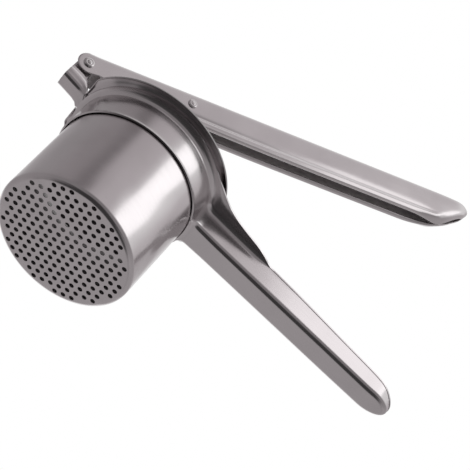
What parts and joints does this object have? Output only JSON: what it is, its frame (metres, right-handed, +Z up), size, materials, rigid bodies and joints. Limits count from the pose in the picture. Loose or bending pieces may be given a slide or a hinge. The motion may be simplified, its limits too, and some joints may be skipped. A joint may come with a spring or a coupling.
{
  "type": "potato ricer",
  "caption": "Hand-held potato ricer: a perforated cup in a ring frame with a lower handle, and a hinged lever that drives a presser plate down into the cup.",
  "frame": {"origin": "middle of the part's footprint, in the plane of the cup's perforated base", "axes": "+X along the lower handle, away from the hinge; +Z up the cup's axis, from the perforated base to the open mouth; +Y completes the right-handed frame, and XZ is the plane of symmetry"},
  "size_m": [0.246, 0.0984, 0.2204],
  "materials": {
    "polished_frame": "polished stainless steel",
    "polished_lever": "polished stainless steel",
    "drawn_cup": "polished drawn stainless steel",
    "satin_bracket": "satin stainless steel",
    "presser": "satin stainless steel",
    "rivets": "bright steel"
  },
  "bodies": {
    "frame": {"frame": "polished_frame", "hopper": "drawn_cup", "hinge_bracket": "satin_bracket"},
    "lever": {"lever": "polished_lever", "hinge_rivet": "rivets", "hinge_washer_near": "rivets", "hinge_washer_far": "rivets", "plunger_rivet": "rivets", "plunger_spacer_near": "rivets", "plunger_spacer_far": "rivets"},
    "presser": {"plunger_yoke": "presser", "presser_plate": "presser", "presser_rivet_back": "rivets", "presser_rivet_front": "rivets"}
  },
  "joints": [
    {"name": "lever_hinge", "type": "hinge", "parent": "frame", "child": "lever", "pos_m": [-0.11653, 0, 0.0949], "axis": [0, -1, 0], "range_deg": [-31, 12]},
    {"name": "presser_pivot", "type": "hinge", "parent": "lever", "child": "presser", "pos_m": [-0.06284, 0, 0.1259], "axis": [0, -1, 0], "range_deg": [-9.5, 24]}
  ],
  "couplings": [
    {"joint": "presser_pivot", "follows": "lever_hinge", "ratio": -0.768}
  ]
}
